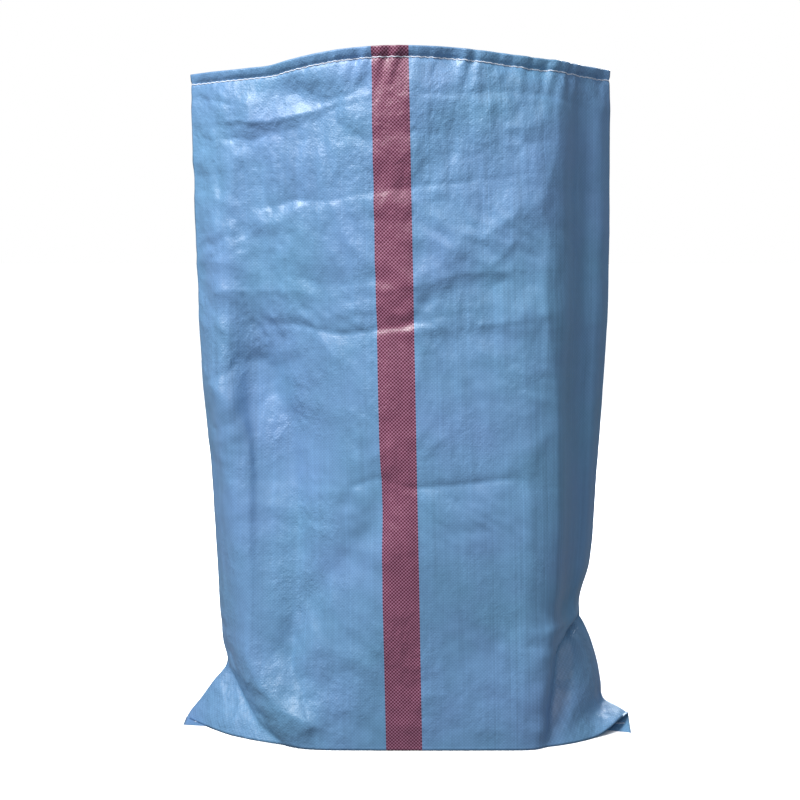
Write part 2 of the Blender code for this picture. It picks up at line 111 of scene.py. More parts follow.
# Creases of the front, in millimetres: a line in the front view, its rise, and how far it reaches to the
# left and to the right of the way the line runs, so above and below a line that runs to the right
FRONT_CREASES = (
    # Fold line across the upper third, dark above and light below
    (((-184, 682), (-160, 687), (-138, 691), (-120, 690)), -2.4, 13, 10),
    (UPPER_FOLD[1:], -1.6, 16, 7),
    (UPPER_FOLD[:-1], -0.6, 5, 3),
    (((-127, 712), (-120, 690)), 1.8, 6, 8),
    (((-217, 638), (-162, 672), (-120, 688)), 2.0, 12, 26),
    # Fold across the middle: a ridge over a hollow on the left, steps on the right
    (((-250, 573), (-236, 579), (-207, 578), (-139, 580)), 2.6, 12, 14),
    (MIDDLE_FOLD[:-2], -2.7, 18, 12),
    (MIDDLE_FOLD[1:], -1.2, 5, 3),
    (((-118, 534), (-92, 498)), 2.2, 10, 12),
    (((4, 586), (30, 592), (62, 603), (122, 604)), 3.6, 18, 12),
    (((100, 584), (122, 596)), -2.0, 10, 10),
    (((6, 537), (46, 537), (82, 539), (117, 541)), 3.0, 16, 6),
    (((8, 470), (16, 500), (26, 534)), 1.6, 8, 12),
    # Lower fold line
    (((-82, 312), (-71, 338), (-40, 349)), -2.6, 12, 14),
    (((4, 337), (14, 338), (65, 342), (113, 347), (136, 349)), -2.4, 8, 14),
    (((-71, 338), (-40, 349), (4, 337), (65, 342), (113, 347), (124, 348)), -0.9, 4, 4),
    # Top left: a flap that looks up, with a hollow wedge at its right and a hollow below it
    (((-172, 850), (-148, 825), (-112, 803)), -9.0, 24, 36),
    (((-200, 788), (-165, 789), (-112, 800)), 5.0, 24, 6),
    (((-204, 845), (-200, 810), (-196, 788)), 2.6, 10, 14),
    (((-232, 770), (-195, 766), (-168, 775)), -4.6, 13, 22),
    (((-276, 823), (-248, 818), (-224, 811)), -3.2, 8, 5),
    (((-231, 815), (-246, 838)), 2.2, 7, 7),
    (((-78, 800), (-80, 855)), 2.6, 10, 26),
    (((-146, 838), (-112, 812), (-70, 818), (-50, 842)), -4.8, 12, 20),
    # Top right: edge of the gathers, the ring and the short folds
    (((10, 818), (69, 819), (110, 821), (165, 820), (200, 812)), -2.4, 13, 9),
    (((70, 822), (101, 842)), 2.6, 7, 10),
    (((114, 768), (118, 778), (127, 781), (136, 777), (139, 768), (136, 759), (127, 755), (118, 758),
      (114, 768)), 1.2, 5, 7),
    (((83, 670), (82, 714)), 1.5, 6, 5),
    (((96, 652), (126, 669)), 2.2, 10, 12),
    (((102, 672), (104, 694)), -1.8, 9, 9),
    # Left margin: upright waves above, a lobe with a hollow beside it below
    (((-239, 630), (-243, 704), (-250, 740)), -3.0, 8, 12),
    (((-226, 620), (-224, 700), (-214, 745)), 2.0, 10, 14),
    (((-256, 461), (-246, 465), (-226, 480)), -2.4, 9, 8),
    (((-128, 37), (-162, 50), (-190, 77), (-204, 112), (-204, 180), (-204, 290), (-206, 390), (-230, 438),
      (-248, 460)), 9.2, 24, 18),
    (((-148, 90), (-156, 112), (-154, 150), (-149, 200), (-146, 260), (-148, 330), (-158, 413), (-178, 460),
      (-186, 488)), -14.0, 24, 42),
    (((-106, 78), (-130, 60), (-148, 66)), -4.0, 16, 20),
    (((-136, 25), (-112, 33)), 2.4, 12, 14),
    # Slanting hollow at the stripe's left
    (((-178, 117), (-151, 158), (-126, 200), (-73, 256), (-42, 290), (-30, 330)), -8.5, 25, 32),
    (((-114, 118), (-113, 163)), -1.6, 7, 6),
    (((-155, 98), (-154, 142)), -1.6, 7, 6),
    (((-103, 8), (-102, 85)), -2.2, 12, 12),
    # Right: the upright corner, with the dark side beyond it, and where it swings inwards above
    (((165, 9), (177, 91), (180, 154), (184, 209), (187, 308), (183, 456), (173, 521), (168, 552)),
     2.6, 14, 14),
    (((150, 60), (150, 160), (152, 300), (150, 450), (142, 540)), 2.0, 20, 20),
    (((168, 552), (169, 600), (171, 640), (170, 660), (158, 686), (165, 703), (176, 735), (181, 760),
      (182, 810)), 4.6, 14, 46),
    (((100, 612), (118, 628), (128, 640)), 2.4, 10, 8),
    (((84, 640), (92, 690)), -1.6, 8, 12),
    (((222, 590), (214, 660), (216, 740), (214, 806)), -3.6, 26, 14),
    # Left ear: the deep line along the body and two ridges
    (((-161, -4), (-184, 24), (-201, 44), (-220, 75), (-235, 104)), -2.6, 4, 6),
    (((-220, 30), (-227, 61), (-235, 82)), 2.6, 6, 6),
    (((-235, 3), (-246, 34), (-251, 61)), 2.4, 8, 8),
    # Right ear: the line along the body, its pocket, a ridge and the pinch by the tip
    (((176, 8), (190, 69), (192, 124)), -2.4, 3, 5),
    (((196, 4), (217, 62), (214, 120)), 5.0, 12, 18),
    (((210, 134), (230, 147)), -10.0, 3, 10),
    (((262, 14), (258, 44)), -3.0, 9, 9),
)

# Ridge by the stripe, on both panels
SHARED_CREASES = (
    (((0, 230), (4, 360), (3, 470)), 4.5, 70, 55),
)

# Soft swells and hollows of the front, in millimetres: place, half width, half height, rise
FRONT_SWELLS = (
    ((-20, 700), 90, 110, 3.0),
    ((127, 767), 6, 6, -1.4),
    ((120, 745), 26, 30, 2.2),
    ((60, 760), 22, 45, -2.0),
    ((-170, 650), 45, 30, 2.2),
    ((-60, 640), 60, 45, 2.6),
    ((80, 640), 36, 34, 2.4),
    ((-100, 440), 50, 50, 2.4),
    ((-50, 400), 26, 24, -1.4),
    ((60, 450), 44, 50, 2.0),
    ((110, 380), 40, 40, -1.6),
    ((60, 230), 50, 60, 2.2),
    ((110, 120), 46, 50, -1.8),
    ((40, 60), 60, 34, 1.8),
    ((-60, 110), 34, 40, 2.0),
    ((-122, 178), 15, 22, -2.2),
    ((-240, 372), 10, 60, 1.6),
)

# Net of the cloth, the depth of the hem's rows, and half the width of the panel that keeps its distances
SECTION_POINTS = 600
FRONT_COLUMNS = 191
BACK_COLUMNS = 111
WALL_ROWS = 280
HEM_ROWS = 13
HEM_BAND = 0.024
STILL_HALF = 0.150

# Hem: gap between its layers, share of the reach that the inner one keeps at the edges, rise of the lip
# as it stands and along the cloth, and the height where the mouth's fall starts
HEM_GAP = 0.0011
INNER_SHARE = 0.996
LIP_RISE = 0.0006
LIP_UP = 0.0004
FALL_START = 0.6

# Bottom: rows of the base as shares of the way to the seam, its rise off the floor, share and level of
# the fold's rows, drop of the back's layer, and the rise of the wall's lowest rows
BASE_SHARES = np.array((0.12, 0.3, 0.5, 0.7, 0.88, 1.0))
BASE_RISE = 0.0016
FOLD_ROWS = ((0.04, 0.0008), (0.5, 0.0006), (1.0, 0.0004))
FOLD_LAYER = 0.0003
FOOT_ROWS = 3
FOOT_RISE = 0.0002

# Tips of the bottom: height of the bend, where each starts and its width, and their moves
TIP_HEIGHT = 0.085
LEFT_TIP = (0.225, 0.075)
RIGHT_TIP = (0.235, 0.065)
LEFT_TIP_BACK = 0.012
RIGHT_TIP_IN = 0.008
RIGHT_TIP_FORWARD = 0.022
RIGHT_TIP_LIFT = 0.018
SEAM_PLACES = (-0.3, -0.22, 0.24, 0.3)
SEAM_BACK = (LEFT_TIP_BACK, 0.0, 0.0, -RIGHT_TIP_FORWARD)
SEAM_LIFT = (0.0, 0.0, 0.0, RIGHT_TIP_LIFT)

# Noise: side of its table of random values, and the seed of each use
NOISE_TABLE = 64
FRONT_SEED, BACK_SEED, STORAGE_SEED, HEM_SEED = 5, 71, 23, 41

# Crumples: bend of their nets and its size, then each net's size, share of the height and turn
CRUMPLE_BEND = 0.030
CRUMPLE_BEND_SIZE = 0.085
CRUMPLE_NETS = ((0.060, 0.62, 0.5), (0.031, 0.60, -0.7), (0.015, 0.42, 1.3))

# A crest is rounded by this share of what both its reaches have over this many millimetres
CREST_REACH = 13.0
CREST_SHARE = 0.6

# Storage folds: heights, rise, reach above and below, how far they wander and over what length
STORAGE_FOLDS = (0.338, 0.533, 0.703, 0.814)
STORAGE_RISE = 0.0011
STORAGE_REACH = (0.014, 0.009)
STORAGE_WANDER = 0.006
STORAGE_LENGTH = 0.110

# Puckers of the hem: height, widths of fine and wide ones and of their strength, reach below and above
# the stitches, and both ends of the strong stretch. Then depth and reach of the hollow and needle line
PUCKER_HEIGHT = 0.0026
FINE_PUCKER, WIDE_PUCKER, PUCKER_STRETCH = 0.0095, 0.023, 0.090
PUCKER_REACH = (0.022, 0.017)
STRONG_START, STRONG_END = (-0.080, 0.050), (-0.30, 0.050)
HOLLOW_DEPTH = 0.0066
HOLLOW_REACH = (0.020, 0.0075)
NEEDLE_DEPTH = 0.0009
NEEDLE_REACH = 0.0022

# Ease of the relief at the panel's edge, the foot and the stitches, and start and width of the bands
# where the front's crumples grow upwards and calm down to the right
EDGE_EASE, FOOT_EASE, HEAD_EASE = 0.018, 0.030, 0.035
GROWING = (0.46, 0.12)
CALMING = (0.150, 0.030)

# Threads: points of each stitch, radius of the bottom thread, its distance from the tips, height and
# dip, and how far a hem stitch slants
HEM_STITCH_POINTS = 7
SEAM_STITCH_POINTS = 6
SEAM_RADIUS = 0.0005
SEAM_MARGIN = 0.014
SEAM_HEIGHT = 0.0009
SEAM_DIP = 0.0003
STITCH_SLANT = 0.00035

# Ramps of the cloth's material: slope and offset of a value that is held between 0 and 1
RAMPS = {
    "tape groups": (5.0, -2.1), "right half": (10.0, 0.45), "haze": (2.4, -0.85), "patches": (3.2, -1.15),
    "left ear": (-14.0, -1.2), "right ear": (20.0, -3.6), "ear height": (-10.0, 1.8),
    "wrinkled side": (-7.0, 1.7), "upper part": (2.6, -1.1), "under hem": (26.0, -20.8),
}

# How much each noise shades the cloth: tapes in groups and elsewhere, wide streaks, clouds and grain
GROUP_STREAKS, PLAIN_STREAKS = 0.34, 0.22
WIDE_SHADE, CLOUD_SHADE, FINE_SHADE = 0.26, 0.30, 0.16

# Lights: name, kind, property of the strength, size or angle, place and aim
LIGHTS = (
    ("key", "AREA", "key_strength", 1.15, (-1.6, -1.8, 2.92), (0, 0, 0.5)),
    ("back", "AREA", "back_strength", 1.2, (1.0, 2.4, 1.9), (0, 0, 0.4)),
    ("fill", "AREA", "fill_strength", 1.2, (0.6, -1.95, 2.0), (0, 0, 0.4)),
    ("floor_light", "SUN", "floor_strength", np.radians(60.0), (0, 0, 3), (0, 0, 0)),
)
ROOM_COLOUR = (0.84, 0.96, 1.10, 1)


class SackSizes(bpy.types.PropertyGroup):
    width: FloatProperty(
        name="Lay-flat width", description="Width of the empty tube laid flat", default=0.600, unit="LENGTH")
    cut_length: FloatProperty(
        name="Cut length", description="Length of tube before hem and seam", default=1.030, unit="LENGTH")
    mouth_height: FloatProperty(
        name="Mouth height", description="Height of the mouth's highest point", default=0.874, unit="LENGTH")
    base_half_depth: FloatProperty(
        name="Half depth of base", description="Middle of base to front edge", default=0.113, unit="LENGTH")
    panel_lean: FloatProperty(
        name="Panel lean", description="Shift of the centre line at the mouth", default=-0.018, unit="LENGTH")
    stitch_drop: FloatProperty(
        name="Stitch drop", description="From the mouth's edge to the thread", default=0.0124, unit="LENGTH")
    seam_fold: FloatProperty(
        name="Seam fold", description="Depth of the folded strip at the bottom", default=0.028, unit="LENGTH")
    tape_count: IntProperty(name="Warp tapes", description="Warp tapes round the whole tube", default=552)
    stripe_tapes: IntProperty(name="Stripe tapes", description="Warp tapes in the stripe", default=21)
    stripe_offset: FloatProperty(
        name="Stripe offset", description="From centre line to stripe", default=-0.0065, unit="LENGTH")
    stitch_length: FloatProperty(
        name="Stitch length", description="Length of one stitch of the thread", default=0.0085, unit="LENGTH")
    thread_radius: FloatProperty(
        name="Thread radius", description="Radius of the thread", default=0.0007, unit="LENGTH")
    crumple: FloatProperty(
        name="Crumple", description="Height of the small irregular folds", default=0.0036, unit="LENGTH")
    cloth_colour: StringProperty(name="Cloth", description="Colour of the tapes, sRGB hex", default="#6F99C3")
    shade_colour: StringProperty(name="Weft", description="Colour of the weft, sRGB hex", default="#678FB9")
    stripe_colour: StringProperty(name="Stripe", description="Stripe's warp, sRGB hex", default="#581830")
    veil_colour: StringProperty(
        name="Stripe weft", description="Weft seen over the stripe's warp, sRGB hex", default="#A26A84")
    thread_colour: StringProperty(name="Thread", description="Thread's colour, sRGB hex", default="#EDF3FF")


class StageSizes(bpy.types.PropertyGroup):
    floor_size: FloatProperty(name="Floor size", description="Side of the floor", default=60.0, unit="LENGTH")
    floor_colour: StringProperty(name="Floor", description="Colour of the floor, sRGB hex", default="#F6F6F6")
    camera_place: FloatVectorProperty(
        name="Camera", description="Camera's place", default=(-0.0108, -1.889, 0.6494), subtype="TRANSLATION")
    camera_pitch: FloatProperty(
        name="Camera pitch", description="How far the camera looks down, in degrees", default=6.5)
    lens: FloatProperty(name="Lens", description="Focal length for a 36 mm sensor", default=65.3)
    key_strength: FloatProperty(
        name="Key light", description="Power of the soft light at the upper left", default=146.0)
    fill_strength: FloatProperty(
        name="Fill light", description="Power of the soft light above the camera's right", default=12.0)
    back_strength: FloatProperty(
        name="Back light", description="Power of the soft light behind the sack", default=70.0)
    floor_strength: FloatProperty(
        name="Floor light", description="Strength of the light on the floor", default=3.2)
    ambient: FloatProperty(name="Ambient", description="Strength of the light from all round", default=0.24)


def rgb(colour):
    """Linear values of an sRGB hex colour."""
    parts = np.array([int(colour[i:i + 2], 16) / 255.0 for i in (1, 3, 5)])
    linear = np.where(parts <= 0.04045, parts / 12.92, ((parts + 0.055) / 1.055) ** 2.4)
    return (*(float(value) for value in linear), 1.0)


def smooth(value):
    """A cubic step from 0 to 1: three squares less two cubes of the value held between 0 and 1."""
    t = np.clip(value, 0.0, 1.0)
    return t * t * (3.0 - 2.0 * t)


def step_over(value, band):
    """A smooth step over a band, which is given by its start and width."""
    return smooth((value - band[0]) / band[1])


def flow(place, keys, values):
    """Smooth curves through key values: cubic pieces, whose slope at a key is a mean of its neighbours'."""
    keys = np.asarray(keys, dtype=float)
    values = np.asarray(values, dtype=float)
    spans = np.diff(keys)
    rises = np.diff(values) / spans
    inner = (rises[:-1] * spans[1:] + rises[1:] * spans[:-1]) / (spans[:-1] + spans[1:])
    slopes = np.concatenate([rises[:1], inner, rises[-1:]])
    place = np.clip(place, keys[0], keys[-1])
    i = np.clip(np.searchsorted(keys, place) - 1, 0, len(spans) - 1)
    t = (place - keys[i]) / spans[i]
    start = (1 + 2 * t) * (1 - t) ** 2 * values[i] + t * (1 - t) ** 2 * spans[i] * slopes[i]
    end = t * t * (3 - 2 * t) * values[i + 1] + t * t * (t - 1) * spans[i] * slopes[i + 1]
    return start + end


def way_out(x, left, right):
    """Share of the way from the middle to the edge on that side, held between 0 and 1."""
    return np.clip(np.where(x < 0.0, -x / left, x / right), 0.0, 1.0)


def bulge(x, left, right, power, roundness=1.0):
    """One less a power of the share of the way out, all of it to the power of the roundness."""
    return np.clip(1.0 - way_out(x, left, right) ** power, 0.0, 1.0) ** roundness


def run_along(x, depth):
    """Length along each row's curve, from its left end."""
    steps = np.hypot(np.diff(x, axis=1), np.diff(depth, axis=1))
    return np.concatenate([np.zeros((len(x), 1)), np.cumsum(steps, axis=1)], axis=1)


def half_sections(height):
    """Half sections, one row for each height: x, and the depth of body and ears joined smoothly.

    Body and ear are each a bulge between their reaches. The body eases over to the slope on the left
    and to the corner on the right, by the share of each at its height. The join is the greater of body
    and ear, plus a soft bump where they are within the softness of each other.
    """
    h = height[:, None]
    left = flow(h, REACH_HEIGHTS, LEFT_REACH)
    right = flow(h, REACH_HEIGHTS, RIGHT_REACH)
    turn = np.linspace(-np.pi / 2, np.pi / 2, SECTION_POINTS)[None, :]
    x = np.where(turn < 0.0, left, right) * np.sin(turn)
    on_left = x < 0.0
    low = h < BODY_HEIGHTS[-1]

    def by_side(keys, left_values, right_values):
        return np.where(on_left, flow(h, keys, left_values), flow(h, keys, right_values))

    body_left = np.where(low, np.minimum(flow(h, BODY_HEIGHTS, LEFT_BODY), left), left)
    body_right = np.where(low, np.minimum(flow(h, BODY_HEIGHTS, RIGHT_BODY), right), right)
    power = by_side(BOXY_HEIGHTS, LEFT_POWER, RIGHT_POWER)
    body = bulge(x, body_left, body_right, power, flow(h, BOXY_HEIGHTS, BODY_ROUNDNESS))
    reached = way_out(x, body_left, body_right)
    slope = flow(reached, SLOPE_SHARES, SLOPE_DEPTHS) - body
    corner = flow(reached ** flow(h, FORM_HEIGHTS, CORNER_FIRMNESS), CORNER_SHARES, CORNER_DEPTHS) - body
    body = body + np.where(on_left, slope, corner) * by_side(FORM_HEIGHTS, LEFT_FORM, RIGHT_FORM)
    ear_depth = by_side(EAR_HEIGHTS, LEFT_EAR_DEPTH, RIGHT_EAR_DEPTH)
    ear_power = by_side(EAR_HEIGHTS, LEFT_EAR_POWER, RIGHT_EAR_POWER)
    ear = bulge(x, left, right, ear_power) * np.maximum(ear_depth, 0.0)
    body = body * flow(h, DEPTH_HEIGHTS, HALF_DEPTHS)
    blend = np.clip(0.5 + 0.5 * (ear - body) / JOIN_SOFTNESS, 0.0, 1.0)
    joined = body + (ear - body) * blend + JOIN_SOFTNESS * blend * (1.0 - blend)
    joined[:, [0, -1]] = 0.0
    return x, np.maximum(joined, 0.0)


def panel_points(height, across, sizes):
    """x and depth of points of one panel: a level row for each height, a column for each place across.

    The middle of the panel keeps its distances along the section, and the rest eases to the edges.
    """
    x, depth = half_sections(height)
    run = run_along(x, depth)
    half = sizes.width / 2
    ease = smooth((np.abs(across) - STILL_HALF) / (half - STILL_HALF))
    rows = []
    for i in range(len(height)):
        centre = np.interp(sizes.panel_lean * height[i] / sizes.mouth_height, x[i], run[i])
        spare = np.where(across < 0.0, centre - half, run[i, -1] - centre - half)
        place = np.clip(centre + across + np.sign(across) * spare * ease, 0.0, run[i, -1])
        rows.append((np.interp(place, run[i], x[i]), np.interp(place, run[i], depth[i])))
    found = np.array(rows)
    found[:, 1, np.abs(across) >= half - 1e-9] = 0.0
    return found[:, 0], found[:, 1]


def lattice_noise(x, z, size, seed, straight=True):
    """Random heights between -1 and 1 at the corners of a triangle net, and flat facets between them.

    The net is sheared squares split along one diagonal. With straight off the squares are blended
    smoothly, which gives soft hills.
    """
    rng = np.random.default_rng(seed)
    values = rng.uniform(-1.0, 1.0, (NOISE_TABLE, NOISE_TABLE))
    p = x / size
    q = z / size
    i = np.floor(p).astype(int)
    j = np.floor(q).astype(int)
    f = p - i
    g = q - j
    i0, i1 = i % NOISE_TABLE, (i + 1) % NOISE_TABLE
    j0, j1 = j % NOISE_TABLE, (j + 1) % NOISE_TABLE
    a, b, c, d = values[i0, j0], values[i1, j0], values[i0, j1], values[i1, j1]
    if straight:
        lower = a + (b - a) * f + (d - b) * g
        upper = a + (c - a) * g + (d - c) * f
        return np.where(f > g, lower, upper)
    f = smooth(f)
    g = smooth(g)
    return (a * (1 - f) + b * f) * (1 - g) + (c * (1 - f) + d * f) * g


def soft_hills(x, z, size, seed):
    """Lattice noise blended smoothly."""
    return lattice_noise(x, z, size, seed, straight=False)


def turned(x, z, angle):
    """The same places in axes turned by an angle."""
    return x * np.cos(angle) + z * np.sin(angle), -x * np.sin(angle) + z * np.cos(angle)


def crumple(x, z, seed):
    """Irregular flat facets with sharp edges in three sizes, on a net warped by soft hills."""
    bend_x = CRUMPLE_BEND * soft_hills(x, z, CRUMPLE_BEND_SIZE, seed + 1)
    bend_z = CRUMPLE_BEND * soft_hills(x, z, CRUMPLE_BEND_SIZE, seed + 2)
    total = np.zeros_like(x)
    for number, (size, share, angle) in enumerate(CRUMPLE_NETS):
        p, q = turned(x + bend_x, z + bend_z, angle)
        total += share * lattice_noise(p, q, size, seed + 10 + number)
    return total


def line_distance(x, z, points):
    """Distance to a chain of straight lines, with a plus sign on its left side and a minus on its right."""
    nearest = np.full(x.shape, 1e9)
    side = np.ones(x.shape)
    for (x0, z0), (x1, z1) in zip(points[:-1], points[1:]):
        dx, dz = x1 - x0, z1 - z0
        t = np.clip(((x - x0) * dx + (z - z0) * dz) / (dx * dx + dz * dz), 0.0, 1.0)
        away_x = x - x0 - t * dx
        away_z = z - z0 - t * dz
        gap = np.hypot(away_x, away_z)
        closer = gap < nearest
        nearest = np.where(closer, gap, nearest)
        side = np.where(closer, np.sign(dx * (z - z0) - dz * (x - x0)), side)
    return nearest, side


def crease_relief(x, z, creases):
    """Sum of creases: each rises to its line and falls off on both sides by its own reach.

    The crest is round where both sides reach far: the distance is taken from a hyperbola.
    """
    total = np.zeros_like(x)
    for points, rise, first, second in creases:
        gap, side = line_distance(x, z, points)
        soft = CREST_SHARE * max(min(first, second) - CREST_REACH, 0.0)
        gap = np.hypot(gap, soft) - soft
        total += rise * np.exp(-gap / np.where(side >= 0.0, first, second))
    return total


def swell_relief(x, z, swells):
    """Sum of soft bumps: the rise times a bell curve of the distance in half widths and half heights."""
    total = np.zeros_like(x)
    for (middle_x, middle_z), wide, high, rise in swells:
        total += rise * np.exp(-((x - middle_x) / wide) ** 2 - ((z - middle_z) / high) ** 2)
    return total


def fold_lines(height, around, seed):
    """Four faint lines right round the tube, where the sack was folded up for storage."""
    total = np.zeros_like(height)
    for number, level in enumerate(STORAGE_FOLDS):
        wander = STORAGE_WANDER * soft_hills(around, number + 0.5, STORAGE_LENGTH, seed)
        gap = height - level - wander
        sign = 1.0 if number % 2 else -1.0
        total += sign * STORAGE_RISE * np.exp(-np.abs(gap) / np.where(gap > 0.0, *STORAGE_REACH))
    return total


def hem_gathers(around, below, seed):
    """Puckers that hang from the row of stitches, in the hollow that the tight thread pulls all round.

    Fine and wide soft hills slant to either side, and both are stronger over most of the right half.
    The hollow is a V: the hem flares out above the stitches and the cloth swells out below them.
    """
    wave = soft_hills(around + 0.30 * below, 0.0, FINE_PUCKER, seed)
    wave += 0.9 * soft_hills(around - 0.25 * below, 0.0, WIDE_PUCKER, seed + 1)
    strength = 0.50 + 0.50 * soft_hills(around, 0.0, PUCKER_STRETCH, seed + 2)
    strength += 0.8 * step_over(around, STRONG_START) * step_over(-around, STRONG_END)
    strength = np.clip(strength, 0.40, 1.2)
    fall = np.exp(-np.abs(below) / np.where(below > 0.0, *PUCKER_REACH))
    hollow = -HOLLOW_DEPTH * np.exp(-np.abs(below) / np.where(below > 0.0, *HOLLOW_REACH))
    return PUCKER_HEIGHT * wave * strength * fall + hollow


def surface_normals(points):
    """Outward normals of a grid whose rows are closed rings: the cross product of its two steps."""
    along = np.roll(points, -1, axis=1) - np.roll(points, 1, axis=1)
    upward = np.gradient(points, axis=0)
    normal = np.cross(along, upward)
    return normal / np.maximum(np.linalg.norm(normal, axis=2, keepdims=True), 1e-12)


def ring_columns(sizes):
    """Places across the panel and round the tube of a ring's columns: the front, then the back."""
    half = sizes.width / 2
    front = np.linspace(-half, half, FRONT_COLUMNS)
    back = np.linspace(half, -half, BACK_COLUMNS)[1:-1]
    across = np.concatenate([front, back])
    around = np.concatenate([front, sizes.width - back])
    return across, around, len(front)


def mouth_fall(across, height, sizes):
    """How far the cloth lies lower than its height, which grows as a smooth step up to the mouth."""
    grown = smooth((height - FALL_START) / (sizes.mouth_height - FALL_START))
    return flow(across, MOUTH_PLACES, MOUTH_FALL) * grown


def wall_grid(height, sizes):
    """The smooth tube as rows of rings, with the fall of the mouth's edge."""
    across, _, front = ring_columns(sizes)
    x, depth = panel_points(height, across, sizes)
    y = np.where(np.arange(len(across)) < front, -depth, depth)
    z = height[:, None] - mouth_fall(across[None, :], height[:, None], sizes)
    return np.stack([x, y, z], axis=2)


def bend_tips(points):
    """Moves the tips of the bottom by smooth steps: left one back, right one in, forward and upwards."""
    low = smooth(1.0 - points[..., 2] / TIP_HEIGHT)
    left = step_over(-points[..., 0], LEFT_TIP) * low
    right = step_over(points[..., 0], RIGHT_TIP) * low
    moved = points.copy()
    moved[..., 0] -= RIGHT_TIP_IN * right
    moved[..., 1] += LEFT_TIP_BACK * left - RIGHT_TIP_FORWARD * right
    moved[..., 2] += RIGHT_TIP_LIFT * right
    return moved


def seam_bend(across):
    """How far the seam stands back and off the floor: straight lines between the places of its bend."""
    return np.interp(across, SEAM_PLACES, SEAM_BACK), np.interp(across, SEAM_PLACES, SEAM_LIFT)


def cloth_relief(points, around, sizes):
    """Height of every fold and crease, square to the smooth tube.

    Crumples are calmer low on the front and on its right side. All relief fades by smooth steps to a
    share of itself at the panel's edges and at the stitches, and to nothing at the foot.
    """
    x, z = points[..., 0], points[..., 2]
    around = np.broadcast_to(around, x.shape)
    front = around <= sizes.width / 2
    across = np.where(front, around, sizes.width - around)
    below = sizes.mouth_height - sizes.stitch_drop - z - mouth_fall(across, z, sizes)
    place_mm = x / MM, z / MM
    shared = crease_relief(*place_mm, SHARED_CREASES) * MM
    front_mm = crease_relief(*place_mm, FRONT_CREASES) + swell_relief(*place_mm, FRONT_SWELLS)
    loose = (0.55 + 0.45 * step_over(z, GROWING)) * (1.0 - 0.60 * step_over(x, CALMING))
    back = crumple(around, z, BACK_SEED) * 1.6 * sizes.crumple
    ahead = front_mm * MM + crumple(x, z, FRONT_SEED) * sizes.crumple * loose
    relief = shared + np.where(front, ahead, back)
    relief += fold_lines(z, around, STORAGE_SEED) * np.where(front, 0.6, 1.8)
    edge = smooth((sizes.width / 2 - np.abs(across)) / EDGE_EASE)
    foot = smooth(z / FOOT_EASE)
    head = smooth(below / HEAD_EASE)
    relief = relief * (0.35 + 0.65 * edge) * foot * (0.15 + 0.85 * head)
    relief += hem_gathers(around, below, HEM_SEED) * (0.2 + 0.8 * edge)
    return relief - NEEDLE_DEPTH * np.exp(-(below / NEEDLE_REACH) ** 2)


def sheet_points(sizes):
    """Every row of the cloth from the cut edge inside the hem to the cut edge of the bottom fold.

    Hem: the inner layer goes up just inside the outer one and turns over at the mouth. Wall: the
    relief is added along the normals. Base: each column goes straight from the foot of the wall to
    the seam on the floor's middle line. Fold: both panels go on together as a flat strip.
    """
    across, around, front = ring_columns(sizes)
    top = sizes.mouth_height
    band = top - HEM_BAND
    heights = np.concatenate([np.linspace(0.0, band, WALL_ROWS)[:-1], np.linspace(band, top, HEM_ROWS)])
    smooth_wall = wall_grid(heights, sizes)
    normals = surface_normals(smooth_wall)
    relief = cloth_relief(smooth_wall, around, sizes)
    wall = bend_tips(smooth_wall + normals * relief[..., None])
    hem = slice(1 - HEM_ROWS, None)
    outer = wall[hem][::-1]
    inner = outer - surface_normals(wall)[hem][::-1] * HEM_GAP
    edges = [0, front - 1]
    inner[:, edges] = outer[:, edges] * (INNER_SHARE, 1.0, 1.0)
    lip = 0.5 * (wall[-1] + inner[0]) + (0.0, 0.0, LIP_RISE)
    foot = wall[0].copy()
    seam = np.column_stack([np.clip(across, *foot[edges, 0]), *seam_bend(across)])
    base = foot + (seam - foot) * BASE_SHARES[:, None, None]
    base[..., 2] += BASE_RISE
    strip = []
    for share, level in FOLD_ROWS:
        row = seam.copy()
        row[:, 1] -= sizes.seam_fold * share
        row[:, 2] = np.maximum(row[:, 2] * (1.0 - share), 0.0) + level
        row[front:, 2] -= FOLD_LAYER
        strip.append(row)
    wall[:FOOT_ROWS, :, 2] += FOOT_RISE
    rows = np.concatenate([inner[::-1], lip[None], wall[::-1], base, np.array(strip)])
    up_base = -BASE_SHARES * sizes.base_half_depth
    up_strip = up_base[-1] - np.array([share for share, _ in FOLD_ROWS]) * sizes.seam_fold
    up = np.concatenate([2 * top - heights[hem], [top + LIP_UP], heights[::-1], up_base, up_strip])
    return rows, up, around


def placed(name, data):
    """An object with some data, linked to the scene."""
    made = bpy.data.objects.new(name, data)
    bpy.context.scene.collection.objects.link(made)
    return made


def shaped(name, points, faces, finish):
    """A smoothly shaded piece from lists of points and faces."""
    mesh = bpy.data.meshes.new(name)
    mesh.from_pydata(points, [], faces)
    mesh.validate()
    mesh.shade_smooth()
    mesh.materials.append(finish)
    return placed(name, mesh)


def grid_mesh(name, rows, up, around, girth, finish):
    """A piece of quads between neighbouring rings, with metres round and metres up as its cloth UV map."""
    count, width = rows.shape[:2]
    i = np.arange(count - 1)[:, None] * width
    j = np.arange(width)[None, :]
    k = (j + 1) % width
    quads = np.stack([i + j, i + width + j, i + width + k, i + k], axis=2).reshape(-1, 4)
    made = shaped(name, rows.reshape(-1, 3).tolist(), quads.tolist(), finish)
    right = np.where(k == 0, around[0] + girth, around[k])
    left, right, high, low = np.broadcast_arrays(around[j], right, up[:-1, None], up[1:, None])
    corners = np.stack([left, high, left, low, right, low, right, high], axis=2)
    layer = made.data.uv_layers.new(name="cloth")
    layer.data.foreach_set("uv", corners.reshape(-1).astype(np.float32))
    return made


